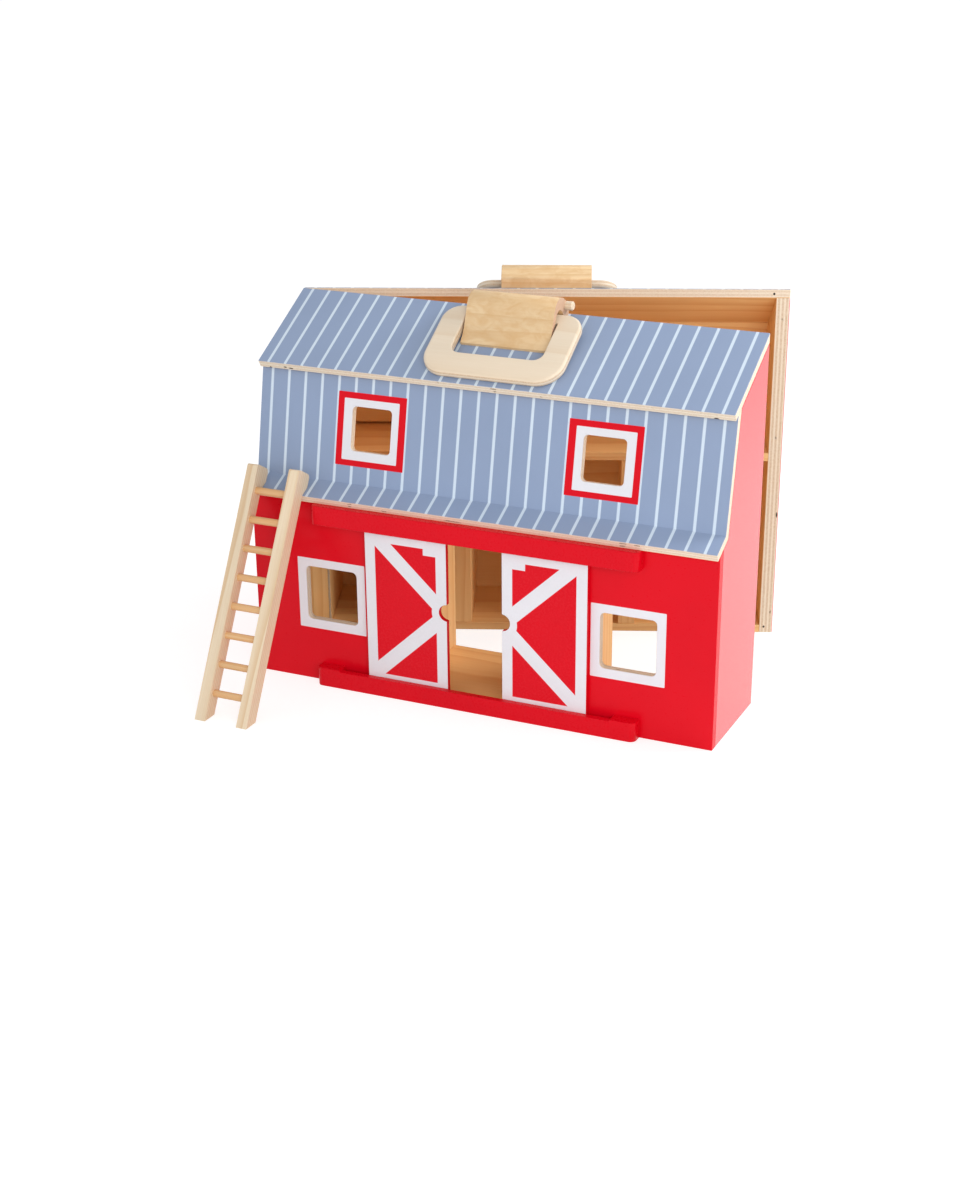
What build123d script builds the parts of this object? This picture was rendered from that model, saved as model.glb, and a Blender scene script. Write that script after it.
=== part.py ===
from build123d import *
import math
import os

# Folding wooden toy barn, in millimetres, +Z up.
# The origin lies on the ground under the middle of the front half. X runs along the barn to the right,
# Y runs back through it. Both halves are drawn in a half frame, whose origin lies on the ground in the
# middle of the closing plane, with the outer wall towards -Y.

# ---------------------------------------------------------------- overall
barn_width = 336.0
half_depth = 82.5
ridge_height = 255.0
open_angle = 22.3
closing_gap = 0.2

# ---------------------------------------------------------------- boards
wall_thickness = 6.0
side_thickness = 9.5
floor_thickness = 6.0
loft_thickness = 6.0
loft_height = 131.5
divider_thickness = 12.0
divider_x = 60.25

# ---------------------------------------------------------------- roof
roof_thickness = 5.5
lip_inset = 17.5
lip_height = 218.6
lip_overhang = 3.4
kick_inset = 9.5
kick_rise = 6.1
eave_pitch = 25.8
eave_length = 17.44

# ---------------------------------------------------------------- openings in the front half
window_x = 108.5
window_z = 64.3
window_width = 39.0
window_height = 38.6
window_radius = 3.4
loft_window_x = 83.0
loft_window_up = 36.8
loft_window_width = 29.5
loft_window_height = 29.8
loft_window_radius = 3.0
doorway_half_width = 37.0
doorway_overlap = 2.5

# ---------------------------------------------------------------- door rails and doors
rail_length = 236.0
rail_corner = 4.5
groove_width = 4.5
groove_half_length = 100.0
rail_lip = 5.0
header_height = 13.5
header_gap = 0.05
header_groove_depth = 8.0
sill_height = 12.5
sill_groove_floor = 4.0
stop_height = 13.5
door_width = 60.4
door_thickness = 4.0
door_play = 0.25
door_top_play = 1.5
door_corner = 1.5
left_door_inset = 19.0
right_door_inset = 21.3
notch_radius = 5.8
notch_height = 67.0

# ---------------------------------------------------------------- carrying handles
ring_width = 99.2
ring_thickness = 6.0
ring_rest_gap = 0.05
ring_top = 11.6
pivot_height = 6.8
ring_above_lip = 3.2
ring_top_corner = 13.0
ring_bottom_corner = 17.5
ring_bar = 8.5
ring_grip = 18.1
ring_side_play = 1.15
ring_opening_corner = 6.5
ring_bar_corner = 1.0
ring_outer_chamfer = 1.76
ring_inner_chamfer = 0.8
saddle_width = 62.5
saddle_clear = 0.7
saddle_nose_rise = 6.9
saddle_nose_round = 2.0
saddle_front_angle = 60.0
saddle_back_angle = 40.5
saddle_crown_radius = 10.5
saddle_channel_play = 0.38
saddle_toe_length = 7.5
saddle_toe_rise = 5.0
saddle_toe_height = 2.0
saddle_toe_blend = 25.0
saddle_seat_length = 8.5
finger_gap = 13.9
dowel_diameter = 6.0
dowel_along = 1.2
dowel_above = 7.5
dowel_reach = 5.0
dowel_end_chamfer = 0.6
glue_clearance = 0.02

# ---------------------------------------------------------------- butt hinges
pin_offset = 2.4
hinge_heights = (45.0, 175.0)
hinge_length = 30.0
knuckle_count = 3
knuckle_gap = 0.2
knuckle_radius = 2.0
pin_radius = 1.0
pin_clearance = 0.05
pin_head_radius = 1.9
pin_head_height = 0.8
leaf_width = 13.0
leaf_thickness = 1.2
leaf_corner = 1.5
leaf_notch_clearance = 0.4
screw_inset = 8.5
screw_spacing = 18.0
screw_head_radius = 2.1
screw_head_height = 0.7

# ---------------------------------------------------------------- ladder
ladder_lean = 61.1
ladder_inset = 23.55
ladder_width = 40.1
ladder_rail_width = 8.0
ladder_rail_depth = 10.6
ladder_gap = 0.3
ladder_above_eave = 15.3
ladder_nose_depth = 15.0
ladder_nose_round = 3.0
ladder_top_round = 1.5
rung_diameter = 5.0
rung_count = 8
rung_first = 17.0
rung_pitch = 19.95
rung_seat = 4.0

os.makedirs("parts", exist_ok=True)


# ================================================================ helpers
def polar(angle):
    """Unit direction in a section, from its first axis."""
    return Vector(math.cos(math.radians(angle)), math.sin(math.radians(angle)))


def meet(p, d, q, e):
    """Where the line through p along d crosses the line through q along e."""
    cross = d.X * e.Y - d.Y * e.X
    step = ((q.X - p.X) * e.Y - (q.Y - p.Y) * e.X) / cross
    return p + d * step


def placed(frame, plane):
    """A plane given in the half frame, where that half of the barn stands."""
    return Plane(frame * plane.location)


def save(piece, name):
    piece.part.label = name
    export_step(piece.part, f"parts/{name}.step")


# ================================================================ frames of the two halves
half_width = barn_width / 2
pin_x = -(half_width + pin_offset)
front_frame = Location((0, half_depth / 2, 0))
turned_about = Location((0, 0, 0), (0, 0, 180))
swing = Location((0, 0, 0), (0, 0, open_angle))
back_frame = Location((pin_x, half_depth / 2, 0)) * swing * Location((-pin_x, 0, 0)) * turned_about

# ================================================================ section of the half roof, as (y, z)
wall_outer = -half_depth
wall_inner = wall_outer + wall_thickness
ridge = Vector(0, ridge_height)
lip = Vector(wall_outer + lip_inset, lip_height)
upper_length = (lip - ridge).length
upper_pitch = math.degrees(math.atan2(ridge.Y - lip.Y, ridge.X - lip.X))
upper_down = polar(180 + upper_pitch)
upper_normal = polar(90 + upper_pitch)
ridge_under = ridge - upper_normal * roof_thickness
lip_under = lip - upper_normal * roof_thickness
kick = Vector(wall_outer + kick_inset, loft_height + loft_thickness + kick_rise)
sheet_top = lip_under + Vector(lip_overhang, 0)
lower_lean = math.degrees(math.atan2(sheet_top.X - kick.X, sheet_top.Y - kick.Y))
lower_up = polar(90 - lower_lean)
lower_inward = polar(-lower_lean)
eave_down = polar(180 + eave_pitch)
eave_normal = polar(90 + eave_pitch)
level = Vector(1, 0)
upright = Vector(0, 1)

kick_in = kick + lower_inward * roof_thickness
eave_tip = kick + eave_down * eave_length
eave_tip_under = eave_tip - eave_normal * roof_thickness
kick_under = meet(kick_in, lower_up, eave_tip_under, eave_down)
lower_top = meet(kick, lower_up, ridge_under, upper_down)
lower_top_in = meet(kick_in, lower_up, ridge_under, upper_down)
seam = Vector(-closing_gap, 0)
seam_roof = meet(seam, upright, ridge, upper_down)
seam_under = meet(seam, upright, ridge_under, upper_down)
wall_top_outer = meet(Vector(wall_outer, 0), upright, eave_tip_under, eave_down)
wall_top_inner = meet(Vector(wall_inner, 0), upright, eave_tip_under, eave_down)
inner_width = barn_width - 2 * side_thickness
header_top = eave_tip_under.Y - header_gap
header_bottom = header_top - header_height
doorway_top = header_bottom + doorway_overlap


# ================================================================ boards of one half
def outer_wall(frame, openings):
    """The long wall, full width, bevelled on top to seat under the eave."""
    with BuildPart() as wall:
        with BuildSketch(placed(frame, Plane.YZ.offset(-half_width))):
            with BuildLine():
                Polyline((wall_outer, 0), (wall_inner, 0), wall_top_inner, wall_top_outer, close=True)
            make_face()
        extrude(amount=barn_width)
        if openings:
            with BuildSketch(placed(frame, Plane.XZ.offset(half_depth))):
                with Locations((-window_x, window_z), (window_x, window_z)):
                    RectangleRounded(window_width, window_height, window_radius)
                with Locations((0, (floor_thickness + doorway_top) / 2)):
                    Rectangle(2 * doorway_half_width, doorway_top - floor_thickness)
            extrude(amount=-2 * wall_thickness, mode=Mode.SUBTRACT)
    return wall


def side_board(frame, side):
    """One end board, cut to the roof's inner section."""
    with BuildPart() as board:
        with BuildSketch(placed(frame, Plane.YZ.offset(side * half_width))):
            with BuildLine():
                Polyline(
                    (-closing_gap, 0),
                    (wall_inner, 0),
                    wall_top_inner,
                    kick_under,
                    lower_top_in,
                    seam_under,
                    close=True,
                )
            make_face()
        extrude(amount=-side * side_thickness)
    return board


def level_board(frame, bottom, thickness):
    """A floor or loft board between the end boards, bevelled where it would meet the roof."""
    with BuildPart() as board:
        with BuildSketch(placed(frame, Plane.YZ.offset(-inner_width / 2))):
            with BuildLine():
                Polyline(
                    (-closing_gap, 0),
                    (wall_inner, 0),
                    wall_top_inner,
                    kick_under,
                    lower_top_in,
                    seam_under,
                    close=True,
                )
            make_face()
            with Locations(((wall_inner - closing_gap) / 2, bottom + thickness / 2)):
                Rectangle(-wall_inner - closing_gap, thickness, mode=Mode.INTERSECT)
        extrude(amount=inner_width)
    return board


def divider(frame, side):
    """A stall divider between the floor and the loft, from the wall to the closing plane."""
    with BuildPart() as board:
        with BuildSketch(placed(frame, Plane.YZ.offset(side * divider_x))):
            with Locations(((wall_inner - closing_gap) / 2, (floor_thickness + loft_height) / 2)):
                Rectangle(-wall_inner - closing_gap, loft_height - floor_thickness)
        extrude(amount=divider_thickness / 2, both=True)
    return board


def lower_roof(frame, openings):
    """The steep roof sheet, bent outwards along its foot to make the eave."""
    with BuildPart() as sheet:
        with BuildSketch(placed(frame, Plane.YZ.offset(-half_width))):
            with BuildLine():
                Polyline(
                    eave_tip, kick, lower_top, lower_top_in, kick_under, eave_tip_under, close=True
                )
            make_face()
        extrude(amount=barn_width)
        if openings:
            face_plane = Plane(
                origin=(0, kick.X, kick.Y),
                x_dir=(1, 0, 0),
                z_dir=(0, -lower_inward.X, -lower_inward.Y),
            )
            with BuildSketch(placed(frame, face_plane)):
                with Locations((-loft_window_x, loft_window_up), (loft_window_x, loft_window_up)):
                    RectangleRounded(loft_window_width, loft_window_height, loft_window_radius)
            extrude(amount=-2 * roof_thickness, mode=Mode.SUBTRACT)
    return sheet


def upper_roof(frame):
    """The gentler roof sheet, from its lip over the lower sheet up to the closing plane."""
    with BuildPart() as sheet:
        with BuildSketch(placed(frame, Plane.YZ.offset(-half_width))):
            with BuildLine():
                Polyline(seam_roof, lip, lip_under, seam_under, close=True)
            make_face()
        extrude(amount=barn_width)
    return sheet


# ================================================================ carrying handle on one half
# s runs down the upper roof from the ridge, h stands square to it. The bar sits high in the saddle's
# channel, so the ring leans down a few degrees and its free end rests on the roof.
ring_bottom = upper_length - ring_above_lip
ring_opening_bottom = ring_bottom - ring_grip
saddle_foot = ring_opening_bottom - finger_gap
pivot = Vector(ring_top + ring_thickness / 2, pivot_height)
pivot_line = ridge + upper_down * pivot.X + upper_normal * pivot.Y
ring_reach = ring_bottom - ring_outer_chamfer - pivot.X
ring_lean = math.degrees(
    math.asin((pivot_height - ring_rest_gap) / math.hypot(ring_reach, ring_thickness / 2))
    - math.atan2(ring_thickness / 2, ring_reach)
)
ring_down = polar(180 + upper_pitch + ring_lean)
ring_normal = polar(90 + upper_pitch + ring_lean)
ring_corner = pivot_line - ring_down * pivot.X - ring_normal * (ring_thickness / 2)
bar_reach = math.hypot(ring_bar - ring_thickness / 2, ring_thickness / 2 - ring_inner_chamfer)
saddle_channel_radius = bar_reach + saddle_channel_play
saddle_plane = Plane(
    origin=(0, ridge.X, ridge.Y), x_dir=(0, upper_down.X, upper_down.Y), z_dir=(-1, 0, 0)
)
ring_plane = Plane(
    origin=(0, ring_corner.X, ring_corner.Y), x_dir=(1, 0, 0), z_dir=(0, ring_normal.X, ring_normal.Y)
)


def handle_saddle(frame, dowelled):
    """The moulded block that holds the ring: a hooked crown, an arched channel round the ring's bar,
    a wedge of free space behind it, a long toe glued to the roof and, in front, a cross hole for the dowel."""
    nose_low = Vector(saddle_clear / math.cos(math.radians(upper_pitch)), 0)
    nose_top = nose_low + polar(90 + upper_pitch) * saddle_nose_rise
    shoulder = Vector(saddle_foot - saddle_toe_length, saddle_toe_rise)
    apex = meet(nose_top, polar(saddle_front_angle), shoulder, polar(180 - saddle_back_angle))
    toe = Vector(saddle_foot, saddle_toe_height)
    wedge = Vector(saddle_foot - saddle_seat_length, 0)
    reach = (wedge - pivot).length
    spread = math.degrees(math.asin(saddle_channel_radius / reach))
    aim = math.degrees(math.atan2(pivot.Y - wedge.Y, pivot.X - wedge.X))
    tangent = wedge + polar(aim - spread) * math.sqrt(reach**2 - saddle_channel_radius**2)
    with BuildPart() as saddle:
        with BuildSketch(placed(frame, saddle_plane)) as outline:
            with BuildLine():
                Polyline(nose_low, nose_top, apex, shoulder, toe, (saddle_foot, 0), close=True)
            make_face()
            fillet(outline.vertices().sort_by_distance(nose_top)[0], saddle_nose_round)
            fillet(outline.vertices().sort_by_distance(apex)[0], saddle_crown_radius)
            fillet(outline.vertices().sort_by_distance(shoulder)[0], saddle_toe_blend)
            with Locations(pivot):
                Circle(saddle_channel_radius, mode=Mode.SUBTRACT)
            with BuildLine():
                Polyline(
                    wedge,
                    tangent,
                    pivot,
                    (pivot.X - saddle_channel_radius, pivot.Y),
                    (pivot.X - saddle_channel_radius, 0),
                    close=True,
                )
            make_face(mode=Mode.SUBTRACT)
            if dowelled:
                with Locations((dowel_along, dowel_above)):
                    Circle(dowel_diameter / 2 + glue_clearance, mode=Mode.SUBTRACT)
        extrude(amount=saddle_width / 2, both=True)
    return saddle


def handle_ring(frame):
    """The flat plywood ring, with its bar along the top and a grip opening below it."""
    with BuildPart() as ring:
        with BuildSketch(placed(frame, ring_plane)) as outline:
            with Locations((0, -(ring_top + ring_bottom) / 2)):
                Rectangle(ring_width, ring_bottom - ring_top)
            fillet(outline.vertices().group_by(Axis.Y)[0], ring_bottom_corner)
            fillet(outline.vertices().group_by(Axis.Y)[-1], ring_top_corner)
        extrude(amount=ring_thickness)
        flats = ring.faces().filter_by(placed(frame, ring_plane))
        chamfer([edge for flat in flats for edge in flat.edges()], ring_outer_chamfer)
        with BuildSketch(placed(frame, ring_plane)) as grip:
            opening_top = ring_top + ring_bar
            with Locations((0, -(opening_top + ring_opening_bottom) / 2)):
                Rectangle(saddle_width + 2 * ring_side_play, ring_opening_bottom - opening_top)
            fillet(grip.vertices().group_by(Axis.Y)[0], ring_opening_corner)
            fillet(grip.vertices().group_by(Axis.Y)[-1], ring_bar_corner)
        extrude(amount=ring_thickness, mode=Mode.SUBTRACT)
        flats = ring.faces().filter_by(placed(frame, ring_plane))
        inner = [edge for flat in flats for wire in flat.inner_wires() for edge in wire.edges()]
        chamfer(inner, ring_inner_chamfer)
    return ring


def stop_dowel(frame):
    """The dowel through the saddle's nose that the raised ring leans on."""
    with BuildPart() as dowel:
        with BuildSketch(placed(frame, saddle_plane)):
            with Locations((dowel_along, dowel_above)):
                Circle(dowel_diameter / 2)
        extrude(amount=saddle_width / 2 + dowel_reach, both=True)
        chamfer(dowel.edges().filter_by(GeomType.CIRCLE), dowel_end_chamfer)
    return dowel


# ================================================================ butt hinges
knuckle_pitch = hinge_length / knuckle_count


def screw_points():
    """Screw places on the closed seam's end board, as (y, z)."""
    return [
        (-screw_inset, height + shift * screw_spacing / 2) for height in hinge_heights for shift in (-1, 1)
    ]


def hinge_leaf(frame, side, height, first):
    """One leaf: a screwed plate and every other knuckle of the barrel, counted from first."""
    with BuildPart() as leaf:
        with BuildSketch(placed(frame, Plane.YZ.offset(side * half_width))) as plate:
            with Locations(((-leaf_width - closing_gap) / 2, height)):
                Rectangle(leaf_width - closing_gap, hinge_length - knuckle_gap)
            fillet(plate.vertices().group_by(Axis.X)[0], leaf_corner)
            notch = knuckle_radius + leaf_notch_clearance
            for number in range(1 - first, knuckle_count, 2):
                level_z = height - hinge_length / 2 + (number + 0.5) * knuckle_pitch
                with Locations((-notch / 2, level_z)):
                    Rectangle(notch, knuckle_pitch, mode=Mode.SUBTRACT)
        extrude(amount=side * leaf_thickness)
        for number in range(first, knuckle_count, 2):
            bottom = height - hinge_length / 2 + number * knuckle_pitch + knuckle_gap / 2
            with BuildSketch(placed(frame, Plane.XY.offset(bottom))):
                with Locations((side * (half_width + pin_offset), 0)):
                    Circle(knuckle_radius)
                    Circle(pin_radius + pin_clearance, mode=Mode.SUBTRACT)
            extrude(amount=knuckle_pitch - knuckle_gap)
    return leaf


def hinge_screws(frame, side):
    """The flat round heads of the screws that hold this half's two leaves."""
    with BuildPart() as screws:
        with BuildSketch(placed(frame, Plane.YZ.offset(side * (half_width + leaf_thickness)))):
            with Locations(*screw_points()):
                Circle(screw_head_radius)
        extrude(amount=side * screw_head_height)
    return screws


# ================================================================ the two half shells
save(outer_wall(front_frame, True), "front_wall")
save(outer_wall(back_frame, False), "back_wall")
# The half frames are turned about each other, so the left end is -1 in front and +1 at the back.
for half, frame, left in (("front", front_frame, -1), ("back", back_frame, 1)):
    save(side_board(frame, left), f"{half}_left_side")
    save(side_board(frame, -left), f"{half}_right_side")
    save(level_board(frame, 0, floor_thickness), f"{half}_floor")
    save(level_board(frame, loft_height, loft_thickness), f"{half}_loft")
    save(divider(frame, left), f"{half}_left_divider")
    save(divider(frame, -left), f"{half}_right_divider")
    save(lower_roof(frame, half == "front"), f"{half}_lower_roof")
    save(upper_roof(frame), f"{half}_upper_roof")
    save(handle_saddle(frame, half == "front"), f"{half}_handle_saddle")
    save(handle_ring(frame), f"{half}_handle_ring")
    save(hinge_screws(frame, left), f"{half}_hinge_screws")
    for place, height in zip(("lower", "upper"), hinge_heights):
        save(hinge_leaf(frame, left, height, 0 if half == "front" else 1), f"{half}_{place}_hinge_leaf")

save(stop_dowel(front_frame), "front_handle_stop_dowel")

with BuildPart() as hinge_pins:
    for height in hinge_heights:
        low = height - hinge_length / 2 + knuckle_gap / 2
        long = hinge_length - knuckle_gap
        with BuildSketch(placed(front_frame, Plane.XY.offset(low))):
            with Locations((pin_x, 0)):
                Circle(pin_radius)
        extrude(amount=long)
        with BuildSketch(placed(front_frame, Plane.XY.offset(low + long))):
            with Locations((pin_x, 0)):
                Circle(pin_head_radius)
        extrude(amount=pin_head_height, taper=15)
        with BuildSketch(placed(front_frame, Plane.XY.offset(low))):
            with Locations((pin_x, 0)):
                Circle(pin_head_radius)
        extrude(amount=-pin_head_height, taper=15)
save(hinge_pins, "hinge_pins")

# ================================================================ door rails
rail_depth = groove_width + rail_lip
groove_middle = wall_outer - groove_width / 2


def rail_plan():
    """Plan of a rail: square against the wall, its outer corners rounded."""
    with BuildSketch() as plan:
        with Locations((0, wall_outer - rail_depth / 2)):
            Rectangle(rail_length, rail_depth)
        fillet(plan.vertices().group_by(Axis.Y)[0], rail_corner)
    return plan.sketch


with BuildPart() as door_header_rail:
    with BuildSketch(placed(front_frame, Plane.XY.offset(header_bottom))):
        add(rail_plan())
    extrude(amount=header_top - header_bottom)
    with BuildSketch(placed(front_frame, Plane.XY.offset(header_bottom))):
        with Locations((0, groove_middle)):
            Rectangle(2 * groove_half_length, groove_width)
    extrude(amount=header_groove_depth, mode=Mode.SUBTRACT)
save(door_header_rail, "door_header_rail")

with BuildPart() as door_bottom_rail:
    with BuildSketch(placed(front_frame, Plane.XY)):
        add(rail_plan())
    extrude(amount=stop_height)
    with BuildSketch(placed(front_frame, Plane.XY.offset(sill_height))):
        with Locations((0, wall_outer - rail_depth / 2)):
            Rectangle(2 * groove_half_length, rail_depth)
    extrude(amount=stop_height, mode=Mode.SUBTRACT)
    with BuildSketch(placed(front_frame, Plane.XY.offset(sill_groove_floor))):
        with Locations((0, groove_middle)):
            Rectangle(2 * groove_half_length, groove_width)
    extrude(amount=sill_height, mode=Mode.SUBTRACT)
save(door_bottom_rail, "door_bottom_rail")

# ================================================================ sliding doors
door_bottom = sill_groove_floor + door_play
door_top = header_bottom + header_groove_depth - door_top_play


def sliding_door(side, inset):
    """A thin ply door with a half round finger notch in the edge that faces the other door."""
    with BuildPart() as door:
        with BuildSketch(placed(front_frame, Plane.XZ.offset(half_depth + door_play))) as face:
            with Locations((side * (inset + door_width / 2), (door_bottom + door_top) / 2)):
                Rectangle(door_width, door_top - door_bottom)
            fillet(face.vertices(), door_corner)
            with Locations((side * inset, notch_height)):
                Circle(notch_radius, mode=Mode.SUBTRACT)
        extrude(amount=door_thickness)
    return door


save(sliding_door(-1, left_door_inset), "left_door")
save(sliding_door(1, right_door_inset), "right_door")

# ================================================================ ladder, hooked over the eave
ladder_centre_x = ladder_inset - half_width
ladder_up = polar(ladder_lean)
ladder_in = polar(ladder_lean - 90)
ladder_top = eave_tip - ladder_in * (ladder_rail_depth + ladder_gap) + ladder_up * ladder_above_eave
ladder_back = ladder_top + ladder_in * ladder_rail_depth
nose_tip = ladder_top + ladder_in * ladder_nose_depth
hook_line = eave_tip + eave_normal * ladder_gap
hook_outer = meet(nose_tip, ladder_up, hook_line, eave_down)
hook_inner = meet(ladder_back, ladder_up, hook_line, eave_down)
foot_back = meet(ladder_back, ladder_up, Vector(0, 0), level)
foot_front = meet(ladder_top, ladder_up, Vector(0, 0), level)
rung_middles = [
    ladder_back - ladder_in * (ladder_rail_depth / 2) - ladder_up * (rung_first + number * rung_pitch)
    for number in range(rung_count)
]


def ladder_rail(side):
    """A rail with a rounded nose that hooks over the eave, a level foot and blind rung holes."""
    middle = ladder_centre_x + side * (ladder_width - ladder_rail_width) / 2
    inner_face = middle - side * ladder_rail_width / 2
    with BuildPart() as rail:
        section = Plane.YZ.offset(middle)
        with BuildSketch(placed(front_frame, section)) as outline:
            with BuildLine():
                Polyline(
                    ladder_top, nose_tip, hook_outer, hook_inner, foot_back, foot_front, close=True
                )
            make_face()
            fillet(outline.vertices().sort_by(Axis.Y)[-1], ladder_top_round)
            fillet(outline.vertices().sort_by_distance(nose_tip)[0], ladder_nose_round)
        extrude(amount=ladder_rail_width / 2, both=True)
        with BuildSketch(placed(front_frame, Plane.YZ.offset(inner_face))):
            with Locations(*rung_middles):
                Circle(rung_diameter / 2 + glue_clearance)
        extrude(amount=side * rung_seat, mode=Mode.SUBTRACT)
    return rail


save(ladder_rail(-1), "ladder_left_rail")
save(ladder_rail(1), "ladder_right_rail")

with BuildPart() as ladder_rungs:
    with BuildSketch(placed(front_frame, Plane.YZ.offset(ladder_centre_x))):
        with Locations(*rung_middles):
            Circle(rung_diameter / 2)
    extrude(amount=ladder_width / 2 - ladder_rail_width + rung_seat, both=True)
save(ladder_rungs, "ladder_rungs")
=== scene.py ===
import math

import bmesh
import bpy
from mathutils import Matrix, Vector


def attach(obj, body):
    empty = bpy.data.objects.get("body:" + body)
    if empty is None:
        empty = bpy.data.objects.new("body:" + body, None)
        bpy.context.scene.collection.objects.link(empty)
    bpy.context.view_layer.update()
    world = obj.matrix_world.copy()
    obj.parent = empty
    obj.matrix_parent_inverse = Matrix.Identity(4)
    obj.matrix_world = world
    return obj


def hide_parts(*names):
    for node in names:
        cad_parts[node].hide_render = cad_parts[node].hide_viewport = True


bl_info = {
    "name": "Toy barn",
    "version": (1, 0, 0),
    "blender": (4, 5, 0),
    "location": "View3D > Sidebar > Toy barn",
    "description": "Paint, bare wood, carrying rings and studio for a folding wooden toy barn",
    "category": "Object",
}

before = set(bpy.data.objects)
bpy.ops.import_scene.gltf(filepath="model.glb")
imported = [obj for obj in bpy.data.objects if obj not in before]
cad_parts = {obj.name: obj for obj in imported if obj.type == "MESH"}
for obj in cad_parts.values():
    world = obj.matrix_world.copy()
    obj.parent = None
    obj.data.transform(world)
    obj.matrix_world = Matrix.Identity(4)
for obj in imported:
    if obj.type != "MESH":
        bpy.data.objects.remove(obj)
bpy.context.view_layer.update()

# ---------------------------------------------------------------- the part's sizes, in metres
HALF_WIDTH = 0.168
HALF_DEPTH = 0.0825
PIN_X = -0.1704
OPEN = math.radians(22.3)
SHEET = 0.0055
WALL = 0.006
SIDE = 0.0095
DOOR = 0.004
DOOR_HALF_WIDTH = 0.0302
DOOR_FACE = HALF_DEPTH + 0.00425
DOOR_MIDDLES = {"left": -0.0492, "right": 0.0515}
LADDER_LEAN = math.radians(90 - 61.1)

# ---------------------------------------------------------------- slopes of the roof
RIDGE = Vector((0, 0, 0.255))
LIP = Vector((0, -0.065, 0.2186))
LIP_OVERHANG = Vector((0, 0.0034, 0))
KICK = Vector((0, -0.073, 0.1436))
EAVE = math.radians(25.8)
DOWN = (LIP - RIDGE).normalized()
UP_NORMAL = Vector((0, DOWN.z, -DOWN.y))
LIP_UNDER = LIP - UP_NORMAL * SHEET
STEEP = (LIP_UNDER + LIP_OVERHANG - KICK).normalized()
STEEP_NORMAL = Vector((0, -STEEP.z, STEEP.y))
EAVE_NORMAL = Vector((0, -math.sin(EAVE), math.cos(EAVE)))

# ---------------------------------------------------------------- the carrying rings, as they lie on the roof
BAR_DOWN = 0.0146
BAR_UP = 0.0068
RING_THICKNESS = 0.006
RING_LEAN = math.radians(3.921)
RING_PIVOT = RIDGE + DOWN * BAR_DOWN + UP_NORMAL * BAR_UP
RING_DOWN = Vector((0, *(Matrix.Rotation(RING_LEAN, 2) @ Vector((DOWN.y, DOWN.z)))))
RING_NORMAL = Vector((0, RING_DOWN.z, -RING_DOWN.y))
RING_FOOT = RING_PIVOT - RING_DOWN * BAR_DOWN - RING_NORMAL * (RING_THICKNESS / 2)
RING_OUTLINE = ((-0.0496, -0.0713), (0.0496, -0.0116))
RING_OPENING = ((-0.0324, -0.0532), (0.0324, -0.0201))
# A rectangle between the outline and the opening, which tells their edges apart.
BETWEEN = ((-0.036, -0.058), (0.036, -0.0158))
RING_TOP_CORNER, RING_BOTTOM_CORNER = 0.013, 0.0175
OPENING_TOP_CORNER, OPENING_BOTTOM_CORNER = 0.0012, 0.0065
RING_ROUND, OPENING_ROUND = 0.0022, 0.001

# ---------------------------------------------------------------- broken edges of the other pieces
FINE_ROUND = 0.0004
RAIL_ROUND = 0.0009
LADDER_ROUND = 0.0006
STEEL_ROUND = 0.0002

# ---------------------------------------------------------------- painted shapes
# A frame is (middle across, middle up, half width, half height).
LOFT_RED_FRAME = (0.0832, 0.03635, 0.0254, 0.02455)
LOFT_WHITE_FRAME = (0.0835, 0.03625, 0.0205, 0.02045)
WALL_WHITE_FRAME = (0.10845, 0.06405, 0.02585, 0.02555)
DOOR_CORNER_BLOCK = (-0.0218, 0.1145, 0.0084, 0.0088)
FRAME_CORNER = 0.0006
BLOCK_CORNER = 0.0002
DOOR_BOTTOM_BAND = 0.0153
DOOR_TOP_BAND = 0.1103
BRACE_Z = 0.0658
BRACE_RISE = 0.92
BRACE_SLANT = 1.359
NOTCH_Z = 0.0665
HALO_RADIUS = 0.011
PAINT_SKIN = 0.00022

# ---------------------------------------------------------------- how softly one finish ends at another
PAINT_SOFT = 0.00008
PATTERN_SOFT = 0.00012
BRACE_SOFT = 0.00016
HALO_SOFT = 0.00014
INNER_SOFT = 0.00015

# ---------------------------------------------------------------- the paint film
PAINT_SPECULAR = 0.14
RAIL_SPECULAR = 0.12
THIN_COAT = 0.05
COAT_ROUGHNESS = 0.12
FILM_RELIEF = 0.05
FILM_RISE = 1.6
FILM_DEPTH = 0.00006

# ---------------------------------------------------------------- the studio
PHOTO_LONG_SIDE = 1200
FOCAL_PIXELS = 1943.21
SENSOR = 36.0
CAMERA_PLACE = (0.51474, -1.12584, 0.54322)
CAMERA_AZIMUTH = math.radians(24.613)
CAMERA_HEIGHT = math.radians(23.828)
CAMERA_ROLL = math.radians(-0.295)
CAMERA_SHIFT = (-20, 90)
LAMP_AIM = Vector((0, 0, 0.12))
# A lamp is (name, kind, size in metres or angle, energy, place).
LAMPS = (
    ("key_window", "AREA", 0.6, 4.6, (0.70, -0.95, 0.5)),
    ("open_seam_window", "AREA", 0.3, 3.4, (0.62, 0.32, 0.62)),
    ("fill_window", "SUN", math.radians(80), 0.07 * math.pi, (-1.2, -1.1, 0.6)),
)

# ---------------------------------------------------------------- where the two halves stand
FRONT = Matrix.Translation((0, HALF_DEPTH / 2, 0))
BACK = (
    Matrix.Translation((PIN_X, HALF_DEPTH / 2, 0))
    @ Matrix.Rotation(OPEN, 4, "Z")
    @ Matrix.Translation((-PIN_X, 0, 0))
    @ Matrix.Rotation(math.pi, 4, "Z")
)
HALVES = {"front": FRONT, "back": BACK}


def from_srgb(red, green, blue):
    """A linear colour from the 0 to 255 values that a paint chart gives."""
    return tuple(
        ((v / 255 + 0.055) / 1.055) ** 2.4 if v > 10 else v / 255 / 12.92 for v in (red, green, blue)
    )


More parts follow.
